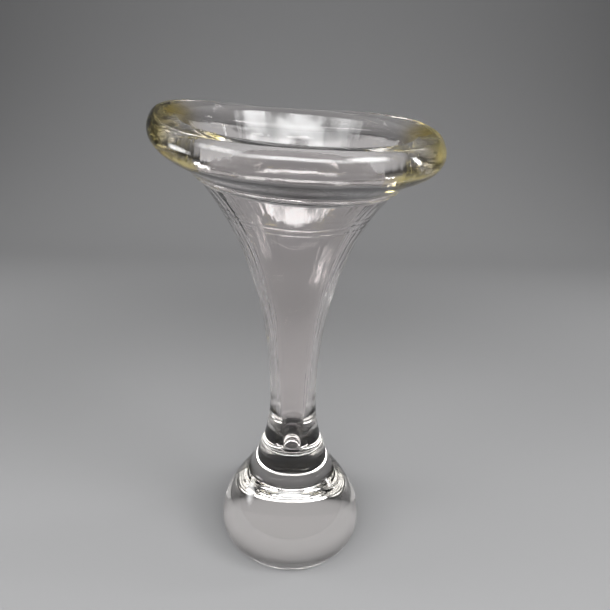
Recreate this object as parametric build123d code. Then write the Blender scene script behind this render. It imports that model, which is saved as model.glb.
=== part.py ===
"""Hyacinth forcing vase of clear, hand-blown glass.

A thin trumpet opens from a slender stem into a wide mouth. Its lip carries a heavy folded rim, uneven
as hand-made glass is, that slopes to one side. The closed lower end of the trumpet sits in a short
collar of glass on a solid ball, which is ground flat underneath. Z points up and the origin is the
centre of the ground flat. Sizes are in millimetres and angles in degrees.
"""
import os
from math import atan, cos, pi, radians, sin, tan

from build123d import *

# Ball foot
base_flat_radius = 34.5
ball_radius = 42.3
ball_equator_height = 14.6
ball_top_radius = 24.2
ball_top_height = 50.2

# Joining collar
collar_height = 17.8
collar_lip_radius = 18.5
collar_lip_drop = 1.6
collar_step = 0.9

# Trumpet, outside
stem_radius = 13.15
stem_height = 32.0
bowl_radius = 51.0
flare_height = 123.2

# Trumpet, inside
stem_wall = 4.75
bowl_wall = 4.6
bore_taper = 1.8
bore_depth = 7.5
end_thickness = 5.0

# Lip of the trumpet
mouth_spread = 2.0
mouth_rounding = 2.4
lip_thickness = 4.2
lip_height = 24.7

# Folded rim
rim_width = 18.8
nose_depth = 4.1
nose_drop = 7.7
crest_rise = 1.2
fold_overhang = 1.1
fold_rise = 0.6

# Unevenness of the hand-made rim: its slope, the side it slopes to and its waves, from that side round
rim_slope_angle = 4.66
rim_slope_direction = -41.4
rim_shift = -1.04
two_lobe_wave = 1.38
two_lobe_start = 45.0
three_lobe_wave = 1.13
three_lobe_start = 81.5

sections_per_curve = 7
points_per_ring = 64

# Sizes that follow from the ones above
crease_height = ball_top_height + collar_height
waist_height = crease_height + stem_height
bowl_height = waist_height + flare_height
mouth_height = bowl_height + lip_height
crest_height = mouth_height + crest_rise
rim_slope = tan(radians(rim_slope_angle))
stem_end_radius = collar_lip_radius - collar_step
bore_radius = stem_radius - stem_wall
bowl_inner_radius = bowl_radius - bowl_wall
mouth_radius = bowl_inner_radius + mouth_spread
lip_radius = mouth_radius + lip_thickness
rim_radius = lip_radius + rim_width
crest_radius = rim_radius - nose_depth


def between(start, end, first, second):
    """Control points of a curve from start to end, the inner ones as shares of its width and height."""
    width, height = end[0] - start[0], end[1] - start[1]
    inner = [(start[0] + share[0] * width, start[1] + share[1] * height) for share in (first, second)]
    return [start, *inner, end]


def point_on(controls, t):
    """Point of a cubic curve at the parameter t."""
    weights = ((1 - t) ** 3, 3 * t * (1 - t) ** 2, 3 * t**2 * (1 - t), t**3)
    return tuple(sum(w * c[axis] for w, c in zip(weights, controls)) for axis in (0, 1))


def points_along(*curves):
    """Points of a chain of curves from its start to its end."""
    points = [curves[0][0]]
    for controls in curves:
        points += [point_on(controls, step / sections_per_curve) for step in range(1, sections_per_curve + 1)]
    return points


def rise_at(height):
    """Share of the rim's slope and shift: nothing at the waist and all at the top of the bowl."""
    return min(1.0, max(0.0, (height - waist_height) / flare_height)) ** 2


def section(point):
    """Flat section of the trumpet that is round from above and slopes down along X."""
    radius, height = point
    rise = rise_at(height)
    angle = atan(rim_slope * rise)
    plane = Plane(
        origin=(rim_shift * rise, 0, height),
        x_dir=(cos(angle), 0, -sin(angle)),
        z_dir=(sin(angle), 0, cos(angle)),
    )
    return plane * Ellipse(radius / cos(angle), radius)


def ring(point):
    """Closed curve round the rim, on its slope and with the waves, which grow from the lip to the crest."""
    radius, height = point
    rise = rise_at(height)
    reach = min(1.0, max(0.0, (radius - lip_radius) / (crest_radius - lip_radius)))
    growth = reach**2 * (3 - 2 * reach)
    points = []
    for step in range(points_per_ring):
        angle = 2 * pi * step / points_per_ring
        wave = two_lobe_wave * cos(2 * (angle - radians(two_lobe_start)))
        wave += three_lobe_wave * cos(3 * (angle - radians(three_lobe_start)))
        along, across = radius * cos(angle), radius * sin(angle)
        fall = rim_slope * rise * along
        points.append((along + rim_shift * rise, across, height - fall + growth * wave))
    return Wire([Spline(*points, periodic=True)])


def blown(points):
    """Solid through flat sections at the given points."""
    return loft([section(point) for point in points])


def folded(points):
    """Solid through wavy rings at the given points, of which the first and the last are flat."""
    return Part(Solid.make_loft([ring(point) for point in points]).wrapped)


def turned(*edges):
    """Solid of revolution about Z from a closed outline of radius and height."""
    return revolve(Plane.XZ * make_face(edges), Axis.Z)


# Points that two pieces share, as radius and height
crease = (stem_end_radius, crease_height)
ball_top_edge = (ball_top_radius, ball_top_height)
bowl_outside = (bowl_radius, bowl_height)
lip_edge = (lip_radius, mouth_height)

# Solid ball, ground flat underneath, with a broad shoulder under the collar
equator = (ball_radius, ball_equator_height)
base_edge = (base_flat_radius, 0)
ball_foot = turned(
    Line((0, 0), base_edge),
    TangentArc(equator, base_edge, tangent=(0, -1)),
    Bezier(*between(equator, ball_top_edge, (0, 0.33), (0.5, 0.75))),
    Line(ball_top_edge, (0, ball_top_height)),
    Line((0, ball_top_height), (0, 0)),
)

# Collar that holds the rounded end of the trumpet, with a small lip at the crease
bore_bottom = (0, crease_height - bore_depth)
trumpet_end = (0, crease_height - bore_depth - end_thickness)
end_dome = between(crease, trumpet_end, (0.05, 0.62), (0.45, 1))
collar_lip = (collar_lip_radius, crease_height - collar_lip_drop)
joining_collar = turned(
    Bezier(*end_dome),
    Line(trumpet_end, (0, ball_top_height)),
    Line((0, ball_top_height), ball_top_edge),
    Bezier(*between(ball_top_edge, collar_lip, (0.33, 0.25), (0.75, 0.6))),
    TangentArc(collar_lip, crease, tangent=(-0.1, 1)),
)

# Trumpet: closed end, stem and flare, and the lip inside the rim
waist = (stem_radius, waist_height)
bore_waist = (bore_radius, waist_height)
bore_end = (bore_radius - bore_taper, crease_height)
bowl_inside = (bowl_inner_radius, bowl_height)
inner_mouth = (mouth_radius, mouth_height - mouth_rounding)
mouth_edge = (mouth_radius + mouth_rounding, mouth_height)
closed_end = turned(
    Bezier(*end_dome),
    Line(trumpet_end, bore_bottom),
    Bezier(*between(bore_bottom, bore_end, (0.55, 0), (1, 0.42))),
    Line(bore_end, crease),
)
stem_curve = between(crease, waist, (0.8, 0.33), (1, 0.65))
flare_curve = between(waist, bowl_outside, (0, 0.192), (0.103, 0.696))
bore_curve = between(bore_end, bore_waist, (0.25, 0.3), (0.75, 0.7))
throat_curve = between(bore_waist, bowl_inside, (0.053, 0.558), (0.547, 0.849))
mouth_curve = between(bowl_inside, inner_mouth, (0.65, 0.22), (1, 0.6))
rounding_curve = between(inner_mouth, mouth_edge, (0, 0.55), (0.45, 1))
walls = blown(points_along(stem_curve, flare_curve)) + blown([bowl_outside, lip_edge])
hollow = blown(points_along(bore_curve, throat_curve)) + blown(points_along(mouth_curve, rounding_curve))
trumpet = walls - hollow + closed_end

# Heavy rim folded over the lip: overhanging edge of the fold, undercut, round nose and broad top
fold = (bowl_radius + fold_overhang, bowl_height + fold_rise)
crest = (crest_radius, crest_height)
nose = (rim_radius, crest_height - nose_drop)
undercut = between(fold, nose, (0.242, 0.374), (1, 0.508))
round_nose = between(nose, crest, (0, 0.432), (0.521, 1))
broad_top = between(crest, lip_edge, (0.4, 0), (0.7, 0.8))
fold_edge = folded([bowl_outside, fold])
turned_over = folded(points_along(undercut, round_nose, broad_top))
folded_rim = fold_edge + turned_over - folded([bowl_outside, lip_edge])

pieces = {
    "ball_foot": ball_foot,
    "joining_collar": joining_collar,
    "trumpet": trumpet,
    "folded_rim": folded_rim,
}

os.makedirs("parts", exist_ok=True)
for name, solid in pieces.items():
    export_step(Rot(0, 0, rim_slope_direction) * solid, f"parts/{name}.step")
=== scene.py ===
"""Looks of the hyacinth forcing vase: one continuous body of clear blown glass on a pale studio sweep."""

import math

import bpy
import numpy as np
from mathutils import Matrix, Vector


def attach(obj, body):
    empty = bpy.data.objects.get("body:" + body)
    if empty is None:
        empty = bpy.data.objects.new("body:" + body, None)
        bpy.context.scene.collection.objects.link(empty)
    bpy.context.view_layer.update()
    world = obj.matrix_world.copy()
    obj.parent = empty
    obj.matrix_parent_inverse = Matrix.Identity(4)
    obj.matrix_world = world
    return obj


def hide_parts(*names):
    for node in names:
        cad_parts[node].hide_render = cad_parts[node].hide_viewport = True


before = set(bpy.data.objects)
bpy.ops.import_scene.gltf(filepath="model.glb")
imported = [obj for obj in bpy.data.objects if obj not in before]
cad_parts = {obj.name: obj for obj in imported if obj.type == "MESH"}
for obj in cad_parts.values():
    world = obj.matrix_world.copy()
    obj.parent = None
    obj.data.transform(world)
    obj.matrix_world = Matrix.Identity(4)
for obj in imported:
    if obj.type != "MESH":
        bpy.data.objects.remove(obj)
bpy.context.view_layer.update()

MM = 0.001

# Sizes of the solids, in millimetres, as in the part's source
base_flat_radius = 34.5
ball_radius = 42.3
ball_equator_height = 14.6
ball_top_radius = 24.2
ball_top_height = 50.2
collar_height = 17.8
collar_lip_radius = 18.5
collar_lip_drop = 1.6
collar_step = 0.9
stem_radius = 13.15
stem_height = 32.0
bowl_radius = 51.0
flare_height = 123.2
stem_wall = 4.75
bowl_wall = 4.6
bore_taper = 1.8
bore_depth = 7.5
mouth_spread = 2.0
lip_thickness = 4.2
lip_height = 24.7
rim_width = 18.8
nose_depth = 4.1
nose_drop = 7.7
crest_rise = 1.2
fold_overhang = 1.1
fold_rise = 0.6

# Unevenness of the hand-made rim: its slope, the side it slopes to and its waves, from that side round
rim_slope = math.tan(math.radians(4.66))
rim_slope_direction = math.radians(-41.4)
rim_shift = -1.04
two_lobe_wave = 1.38
two_lobe_start = math.radians(45.0)
three_lobe_wave = 1.13
three_lobe_start = math.radians(81.5)

# Sizes that follow from the ones above
crease_height = ball_top_height + collar_height
waist_height = crease_height + stem_height
bowl_height = waist_height + flare_height
mouth_height = bowl_height + lip_height
crest_height = mouth_height + crest_rise
stem_end_radius = collar_lip_radius - collar_step
bore_radius = stem_radius - stem_wall
bowl_inner_radius = bowl_radius - bowl_wall
mouth_radius = bowl_inner_radius + mouth_spread
lip_radius = mouth_radius + lip_thickness
rim_radius = lip_radius + rim_width
crest_radius = rim_radius - nose_depth

# Forms of the skin that the solids lack, in millimetres: the funnel of the mouth and two rings of the tool
funnel_top_spread = 9.0
funnel_top_rise = 0.4
funnel_edge_spread = 6.0
funnel_edge_drop = 1.5
tool_ring_heights = (204.0, 207.2)
tool_ring_rise = 0.12
tool_ring_width = 0.55

# Fineness of the skin: points round it, the gap inside the edge of the flat, and what counts as on the axis
points_around = 224
flat_edge_gap = 0.5
on_axis = 1e-6

# Samples along the flare, of which every so many are kept, and more of them at the rings of the tool
flare_samples = 2000
flare_stride = 40
tool_ring_stride = 4
tool_ring_trace = 0.001

# Glass: refraction, colours at its surface and in its depth, and where the painted yellow tint comes in, in
# metres
glass_ior = 1.5
clear_tint = (1.0, 0.965, 0.96, 1)
# Painted tint: yellow laid on the front of the rim's ends for the colour of long paths of light through the
# glass
painted_path_tint = (0.92, 0.68, 0.12, 1)
depth_colour = (0.62, 0.6, 0.3, 1)
depth_density = 0.7
rim_ends_aside = (0.047, 0.062)
painted_tint_from_back = (0.035, 0.005)

# Unevenness of the glass: heights at which it comes in and grows, in metres, patterns and strengths
worked_heights = (0.07, 0.11)
rim_heights = (0.215, 0.235)
bump_distance = 0.001
streak_noise = {"Scale": 6.0, "Detail": 2.5, "Roughness": 0.55}
streak_stretch = 2.5
streak_strength = 0.4
cord_noise = {"Scale": 220.0, "Detail": 1.5, "Roughness": 0.5}
cord_turn = (0.012, 0.012, 0.012)
cord_strength = 0.35
broad_noise = {"Scale": 75.0, "Detail": 1.5, "Roughness": 0.45}
broad_strengths = (0.12, 0.35)

# Paper sweep, in metres
paper_near = (0.42, 0.42, 0.425, 1)
# Painted shade: the paper darkens to this grey with distance from the vase, over this range, as the light
# falls off
paper_painted_falloff = (0.155, 0.155, 0.157, 1)
painted_falloff_range = (0.5, 1.5)
paper_roughness = 0.95
paper_gloss = 0.1
sweep_half_width = 2.0
sweep_front = -1.6
sweep_bend_start = 0.55
sweep_bend_radius = 0.45
sweep_bend_points = 19
sweep_top = 0.5
air_gap = 0.0003

# Room, with the range of directions over which the soft light behind the vase comes in
room_tone = (0.03, 0.03, 0.031, 1)
sky_tone = (0.42, 0.42, 0.425, 1)
room_share = 0.1
sky_upward = (0.36, 0.66)
sky_backward = (-0.1, 0.35)

# Share of a lamp's width and height over which its light fades out at each edge
lamp_fade = 0.42

# Lamps: name, place, point that it looks at and size, in metres, and power in watts
lamps = (
    ("front_top", (0.0, -0.80, 0.80), (0, 0, 0.24), (1.9, 0.3), 29.5),
    ("wing_left", (-0.70, -0.42, 0.80), (0, 0, 0.24), (0.8, 0.38), 8.7),
    ("wing_right", (0.70, -0.42, 0.80), (0, 0, 0.24), (0.8, 0.38), 15.2),
    ("window_left", (-0.95, 0.0, 0.28), (0, 0, 0.06), (0.55, 0.28), 6.4),
    ("window_right", (0.90, 0.15, 0.45), (0, 0, 0.1), (0.12, 0.4), 3.5),
)

# Camera at the photograph's place: pixels of the 610 by 610 frame, metres and angles
frame_px = 610
focal_px = 585
axis_offset_px = 9.8
camera_place = (0, -0.29356, 0.27471)
camera_pitch = math.radians(22.42)
camera_roll = math.radians(1.34)
sensor_height_mm = 24.0
nearest_shown = 0.01

# Bounces that let light through all walls of the glass
glass_bounces = 32
glossy_bounces = 12


def between(start, end, first, second):
    """Control points of a curve from start to end, the inner ones as shares of its width and height."""
    width, height = end[0] - start[0], end[1] - start[1]
    inner = [(start[0] + share[0] * width, start[1] + share[1] * height) for share in (first, second)]
    return [start, *inner, end]


def curve(controls, count):
    """Points along a cubic curve, without its first one."""
    t = np.linspace(0, 1, count + 1)[1:, None]
    p = np.array(controls, float)
    return (1 - t) ** 3 * p[0] + 3 * t * (1 - t) ** 2 * p[1] + 3 * t**2 * (1 - t) * p[2] + t**3 * p[3]


def arc(start, middle, end, count):
    """Points along the circle through three points, without the first one."""
    (ax, ay), (bx, by), (cx, cy) = start, middle, end
    d = 2 * (ax * (by - cy) + bx * (cy - ay) + cx * (ay - by))
    ux = ((ax**2 + ay**2) * (by - cy) + (bx**2 + by**2) * (cy - ay) + (cx**2 + cy**2) * (ay - by)) / d
    uy = ((ax**2 + ay**2) * (cx - bx) + (bx**2 + by**2) * (ax - cx) + (cx**2 + cy**2) * (bx - ax)) / d
    first, last = (math.atan2(y - uy, x - ux) for x, y in (start, end))
    turn = (last - first + math.pi) % (2 * math.pi) - math.pi
    t = first + turn * np.linspace(0, 1, count + 1)[1:]
    radius = math.hypot(ax - ux, ay - uy)
    return np.column_stack([ux + radius * np.cos(t), uy + radius * np.sin(t)])


def ringed(points):
    """Fine raised rings of the tool on a dense run of points, which is thinned out away from them."""
    rise = sum(np.exp(-(((points[:, 1] - height) / tool_ring_width) ** 2)) for height in tool_ring_heights)
    points = points + np.column_stack([tool_ring_rise * rise, 0 * rise])
    steps = np.arange(1, len(points) + 1)
    at_ring = (rise > tool_ring_trace) & (steps % tool_ring_stride == 0)
    return points[(steps % flare_stride == 0) | at_ring]


def profile():
    """Radius and height along the skin of the glass: up the outside, over the rim and down the inside."""
    base_edge = (base_flat_radius, 0.0)
    equator = (ball_radius, ball_equator_height)
    ball_top = (ball_top_radius, ball_top_height)
    collar_lip = (collar_lip_radius, crease_height - collar_lip_drop)
    crease = (stem_end_radius, crease_height)
    waist = (stem_radius, waist_height)
    bowl_outside = (bowl_radius, bowl_height)
    fold = (bowl_radius + fold_overhang, bowl_height + fold_rise)
    nose = (rim_radius, crest_height - nose_drop)
    crest = (crest_radius, crest_height)
    funnel_top = (mouth_radius + funnel_top_spread, mouth_height + funnel_top_rise)
    funnel_edge = (mouth_radius + funnel_edge_spread, mouth_height - funnel_edge_drop)
    bowl_inside = (bowl_inner_radius, bowl_height)
    bore_waist = (bore_radius, waist_height)
    bore_end = (bore_radius - bore_taper, crease_height)
    bore_bottom = (0.0, crease_height - bore_depth)

    # The ball's underside is an arc that stands upright at the equator: this is its middle
    across = ball_radius - base_flat_radius
    bend = (across**2 + ball_equator_height**2) / (2 * across)
    half = 0.5 * math.asin(ball_equator_height / bend)
    under = (ball_radius - bend * (1 - math.cos(half)), ball_equator_height - bend * math.sin(half))

    ball = [
        [(radius, 0.0) for radius in np.linspace(0, base_flat_radius - flat_edge_gap, 14)],
        [base_edge],
        arc(base_edge, under, equator, 22),
        curve(between(equator, ball_top, (0, 0.33), (0.5, 0.75)), 30),
    ]
    collar = [
        curve(between(ball_top, collar_lip, (0.33, 0.25), (0.75, 0.6)), 18),
        curve(between(collar_lip, crease, (0.12, 0.55), (0.5, 0.95)), 6),
    ]
    trumpet = [
        curve(between(crease, waist, (0.8, 0.33), (1, 0.65)), 20),
        ringed(curve(between(waist, bowl_outside, (0, 0.192), (0.103, 0.696)), flare_samples)),
    ]
    rim = [
        curve(between(bowl_outside, fold, (0.1, -0.6), (0.75, -0.1)), 6),
        curve(between(fold, nose, (0.242, 0.374), (1, 0.508)), 36),
        curve(between(nose, crest, (0, 0.432), (0.521, 1)), 18),
        curve(between(crest, funnel_top, (0.4, 0), (0.7, 0.8)), 14),
    ]
    hollow = [
        curve(between(funnel_top, funnel_edge, (0.45, 0.1), (0.78, 0.45)), 8),
        curve(between(funnel_edge, bowl_inside, (0.36, 0.33), (0.7, 0.67)), 24),
        curve(between(bowl_inside, bore_waist, (0.453, 0.151), (0.947, 0.442)), 44),
        curve(between(bore_waist, bore_end, (0.25, 0.3), (0.75, 0.7)), 14),
        curve(between(bore_end, bore_bottom, (0, 0.58), (0.45, 1)), 12),
    ]
    return np.vstack(ball + collar + trumpet + rim + hollow)


def glass_mesh(points, around):
    """Turns the profile about Z, with the slope of the rim on each ring and its waves on the outer ones."""
    share = np.clip((points[:, 1] - waist_height) / flare_height, 0, 1) ** 2
    reach = np.clip((points[:, 0] - lip_radius) / (crest_radius - lip_radius), 0, 1)
    growth = reach**2 * (3 - 2 * reach)
    turn = 2 * np.pi * np.arange(around) / around
    from_slope = turn - rim_slope_direction
    wave = two_lobe_wave * np.cos(2 * (from_slope - two_lobe_start))
    wave += three_lobe_wave * np.cos(3 * (from_slope - three_lobe_start))
    aside = rim_shift * np.array([math.cos(rim_slope_direction), math.sin(rim_slope_direction)])
    rings = []
    vertices = []
    for (radius, height), rise, waved in zip(points, share, growth):
        if radius < on_axis:
            rings.append([len(vertices)])
            vertices.append((0, 0, height * MM))
            continue
        rings.append(list(range(len(vertices), len(vertices) + around)))
        tall = height - rim_slope * rise * radius * np.cos(from_slope) + waved * wave
        x, y = radius * np.cos(turn) + aside[0] * rise, radius * np.sin(turn) + aside[1] * rise
        ring = np.column_stack([x, y, tall])
        vertices.extend(map(tuple, ring * MM))
    faces = []
    for lower, upper in zip(rings[:-1], rings[1:]):
        for i in range(around):
            j = (i + 1) % around
            if len(lower) == 1:
                faces.append((lower[0], upper[j], upper[i]))
            elif len(upper) == 1:
                faces.append((lower[i], lower[j], upper[0]))
            else:
                faces.append((lower[i], lower[j], upper[j], upper[i]))
    mesh = bpy.data.meshes.new("vase_glass")
    mesh.from_pydata(vertices, [], faces)
    mesh.shade_smooth()
    mesh.update()
    return mesh


def feed(tree, socket, value):
    """Joins a socket to the output of another node, or sets it to a plain value."""
    if isinstance(value, bpy.types.NodeSocket):
        tree.links.new(value, socket)
    else:
        socket.default_value = value


def add(tree, kind, **inputs):
    """A shader node with some of its inputs fed."""
    node = tree.nodes.new("ShaderNode" + kind)
    for name, value in inputs.items():
        feed(tree, node.inputs[name.replace("_", " ")], value)
    return node


def worked_out(tree, kind, operation, values):
    """A Math or Vector Math node on some values."""
    node = tree.nodes.new("ShaderNode" + kind)
    node.operation = operation
    for socket, value in zip(node.inputs, values):
        feed(tree, socket, value)
    return node


def number(tree, operation, *values):
    """Number from a Math node."""
    return worked_out(tree, "Math", operation, values).outputs["Value"]


def vector(tree, operation, *values):
    """Vector from a Vector Math node."""
    return worked_out(tree, "VectorMath", operation, values).outputs["Vector"]


def length(tree, value):
    """Length of a vector."""
    return worked_out(tree, "VectorMath", "LENGTH", [value]).outputs["Value"]


def ramp(tree, value, given, wanted=(0.0, 1.0), interpolation="SMOOTHSTEP"):
    """Takes one range of values to another and stays at its ends outside it."""
    node = add(tree, "MapRange", Value=value)
    node.interpolation_type = interpolation
    for name, limit in zip(("From Min", "From Max", "To Min", "To Max"), (*given, *wanted)):
        node.inputs[name].default_value = limit
    return node.outputs["Result"]


def mixed(tree, factor, first, second):
    """Colour between two others."""
    node = tree.nodes.new("ShaderNodeMix")
    node.data_type = "RGBA"
    for name, value in (("Factor", factor), ("A", first), ("B", second)):
        feed(tree, node.inputs[name], value)
    return node.outputs["Result"]


def bump(tree, pattern, noise, strength, below=None):
    """Normal of a surface that a noise over a pattern of places makes uneven, over another one."""
    height = add(tree, "TexNoise", Vector=pattern, **noise).outputs["Fac"]
    node = add(tree, "Bump", Height=height, Strength=strength, Distance=bump_distance)
    if below is not None:
        feed(tree, node.inputs["Normal"], below)
    return node.outputs["Normal"]


def clear_glass():
    """Clear soda-lime glass: a painted yellow tint on the front of the rim's ends for long paths of light
    through the glass, drawn streaks, cords and soft unevenness.
    """
    material = bpy.data.materials.new("clear_glass")
    material.use_nodes = True
    tree = material.node_tree
    glass = tree.nodes["Principled BSDF"]
    glass.inputs["Roughness"].default_value = 0.0
    glass.inputs["IOR"].default_value = glass_ior
    glass.inputs["Transmission Weight"].default_value = 1.0
    place = add(tree, "TexCoord").outputs["Object"]
    x, y, z = add(tree, "SeparateXYZ", Vector=place).outputs
    flat = add(tree, "CombineXYZ", X=x, Y=y).outputs["Vector"]
    outward = vector(tree, "NORMALIZE", flat)

    # Painted tint: yellow at the two ends of the rim, on the front half, standing in for the colour that
    # long paths of light through the glass there take on
    ends = ramp(tree, number(tree, "ABSOLUTE", x), rim_ends_aside)
    painted_tint_share = number(tree, "MULTIPLY", ends, ramp(tree, y, painted_tint_from_back))
    feed(tree, glass.inputs["Base Color"], mixed(tree, painted_tint_share, clear_tint, painted_path_tint))

    # The ball is clean and smooth: unevenness comes in along the stem and grows in the rim
    worked = ramp(tree, z, worked_heights, interpolation="LINEAR")
    heavy = ramp(tree, z, rim_heights, broad_strengths, "LINEAR")

    # Streaks run along the walls, so their pattern follows the direction from the axis
    upward = add(tree, "CombineXYZ", Z=number(tree, "MULTIPLY", z, streak_stretch)).outputs["Vector"]
    streaks = vector(tree, "ADD", outward, upward)
    normal = bump(tree, streaks, streak_noise, number(tree, "MULTIPLY", worked, streak_strength))

    # Cords at the rim's ends run round it, so their pattern hardly changes with the direction from the axis
    across = add(tree, "CombineXYZ", X=length(tree, flat), Y=z).outputs["Vector"]
    cords = vector(tree, "MULTIPLY_ADD", outward, cord_turn, across)
    normal = bump(tree, cords, cord_noise, number(tree, "MULTIPLY", ends, cord_strength), normal)

    # Soft unevenness of hand-worked glass
    normal = bump(tree, place, broad_noise, number(tree, "MULTIPLY", worked, heavy), normal)
    feed(tree, glass.inputs["Normal"], normal)

    depth = add(tree, "VolumeAbsorption", Color=depth_colour, Density=depth_density)
    feed(tree, tree.nodes["Material Output"].inputs["Volume"], depth.outputs["Volume"])
    return material


def studio_paper():
    """Matt pale grey paper, with painted shade that darkens it with distance from the vase, standing in for
    the light falling off.
    """
    material = bpy.data.materials.new("studio_paper")
    material.use_nodes = True
    tree = material.node_tree
    paper = tree.nodes["Principled BSDF"]
    paper.inputs["Roughness"].default_value = paper_roughness
    paper.inputs["Specular IOR Level"].default_value = paper_gloss
    # Painted shade: darker with distance from the vase
    falloff_share = ramp(tree, length(tree, add(tree, "TexCoord").outputs["Object"]), painted_falloff_range)
    feed(tree, paper.inputs["Base Color"], mixed(tree, falloff_share, paper_near, paper_painted_falloff))
    return material


def sweep():
    """Floor that curves up into a backdrop behind the vase."""
    line = [(sweep_front, -air_gap)]
    for turn in np.radians(np.linspace(0, 90, sweep_bend_points)):
        back, up = sweep_bend_radius * math.sin(turn), sweep_bend_radius * (1 - math.cos(turn))
        line.append((sweep_bend_start + back, up - air_gap))
    line.append((sweep_bend_start + sweep_bend_radius, sweep_top))
    vertices = []
    faces = []
    for i, (y, z) in enumerate(line):
        vertices += [(-sweep_half_width, y, z), (sweep_half_width, y, z)]
        if i:
            faces.append((2 * i - 2, 2 * i - 1, 2 * i + 1, 2 * i))
    mesh = bpy.data.meshes.new("studio_sweep")
    mesh.from_pydata(vertices, [], faces)
    mesh.shade_smooth()
    return mesh


def fade_out(lamp):
    """Lets the light of a lamp fade towards its edges."""
    lamp.use_nodes = True
    tree = lamp.node_tree
    surface = add(tree, "NewGeometry").outputs["Parametric"]
    along, across, _ = add(tree, "SeparateXYZ", Vector=surface).outputs
    shares = []
    for share in (along, across):
        inward = number(tree, "MINIMUM", share, number(tree, "SUBTRACT", 1.0, share))
        shares.append(ramp(tree, inward, (0.0, lamp_fade)))
    feed(tree, tree.nodes["Emission"].inputs["Strength"], number(tree, "MULTIPLY", *shares))


def softbox(name, place, target, size, power):
    """Rectangular lamp that looks at a point."""
    lamp = bpy.data.lights.new(name, "AREA")
    lamp.shape = "RECTANGLE"
    lamp.size, lamp.size_y = size
    lamp.energy = power
    fade_out(lamp)
    thing = bpy.data.objects.new(name, lamp)
    bpy.context.scene.collection.objects.link(thing)
    thing.location = place
    thing.rotation_euler = (Vector(target) - Vector(place)).to_track_quat("-Z", "Y").to_euler()


def studio_sky():
    """Dim room with a broad soft light high up behind the vase, which the camera and the glass see."""
    world = bpy.data.worlds.new("studio")
    bpy.context.scene.world = world
    world.use_nodes = True
    tree = world.node_tree
    _, y, z = add(tree, "SeparateXYZ", Vector=add(tree, "TexCoord").outputs["Generated"]).outputs
    light = number(tree, "MULTIPLY", ramp(tree, z, sky_upward), ramp(tree, y, sky_backward))
    light = ramp(tree, light, (0.0, 1.0), (room_share, 1.0), "LINEAR")
    rays = add(tree, "LightPath").outputs
    shown = rays["Is Camera Ray"]
    for kind in ("Is Glossy Ray", "Is Transmission Ray"):
        shown = number(tree, "MAXIMUM", shown, rays[kind])
    sky = number(tree, "MULTIPLY", light, shown)
    feed(tree, tree.nodes["Background"].inputs["Color"], mixed(tree, sky, room_tone, sky_tone))


scene = bpy.context.scene

# The vase
vase = bpy.data.objects.new("vase_glass", glass_mesh(profile(), points_around))
vase.data.materials.append(clear_glass())
scene.collection.objects.link(vase)
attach(vase, "root")
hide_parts("ball_foot", "joining_collar", "trumpet", "folded_rim")

# Floor and backdrop
floor = bpy.data.objects.new("studio_sweep", sweep())
floor.data.materials.append(studio_paper())
scene.collection.objects.link(floor)

# Light
for lamp in lamps:
    softbox(*lamp)
studio_sky()

# Camera
camera = bpy.data.cameras.new("camera")
camera.sensor_fit = "VERTICAL"
camera.sensor_height = sensor_height_mm
camera.lens = sensor_height_mm * focal_px / frame_px
camera.shift_x = axis_offset_px / frame_px
camera.clip_start = nearest_shown
eye = bpy.data.objects.new("camera", camera)
scene.collection.objects.link(eye)
ahead = Vector((0, math.cos(camera_pitch), -math.sin(camera_pitch)))
above = Vector((0, math.sin(camera_pitch), math.cos(camera_pitch)))
level = Matrix((Vector((1, 0, 0)), above, -ahead)).transposed()
looking = level @ Matrix.Rotation(camera_roll, 3, "Z")
eye.matrix_world = Matrix.Translation(camera_place) @ looking.to_4x4()
bpy.context.scene.camera = eye

bpy.context.scene.view_settings.view_transform = "Standard"
scene.cycles.max_bounces = glass_bounces
scene.cycles.transmission_bounces = glass_bounces
scene.cycles.glossy_bounces = glossy_bounces
scene.cycles.caustics_refractive = False
scene.cycles.caustics_reflective = False
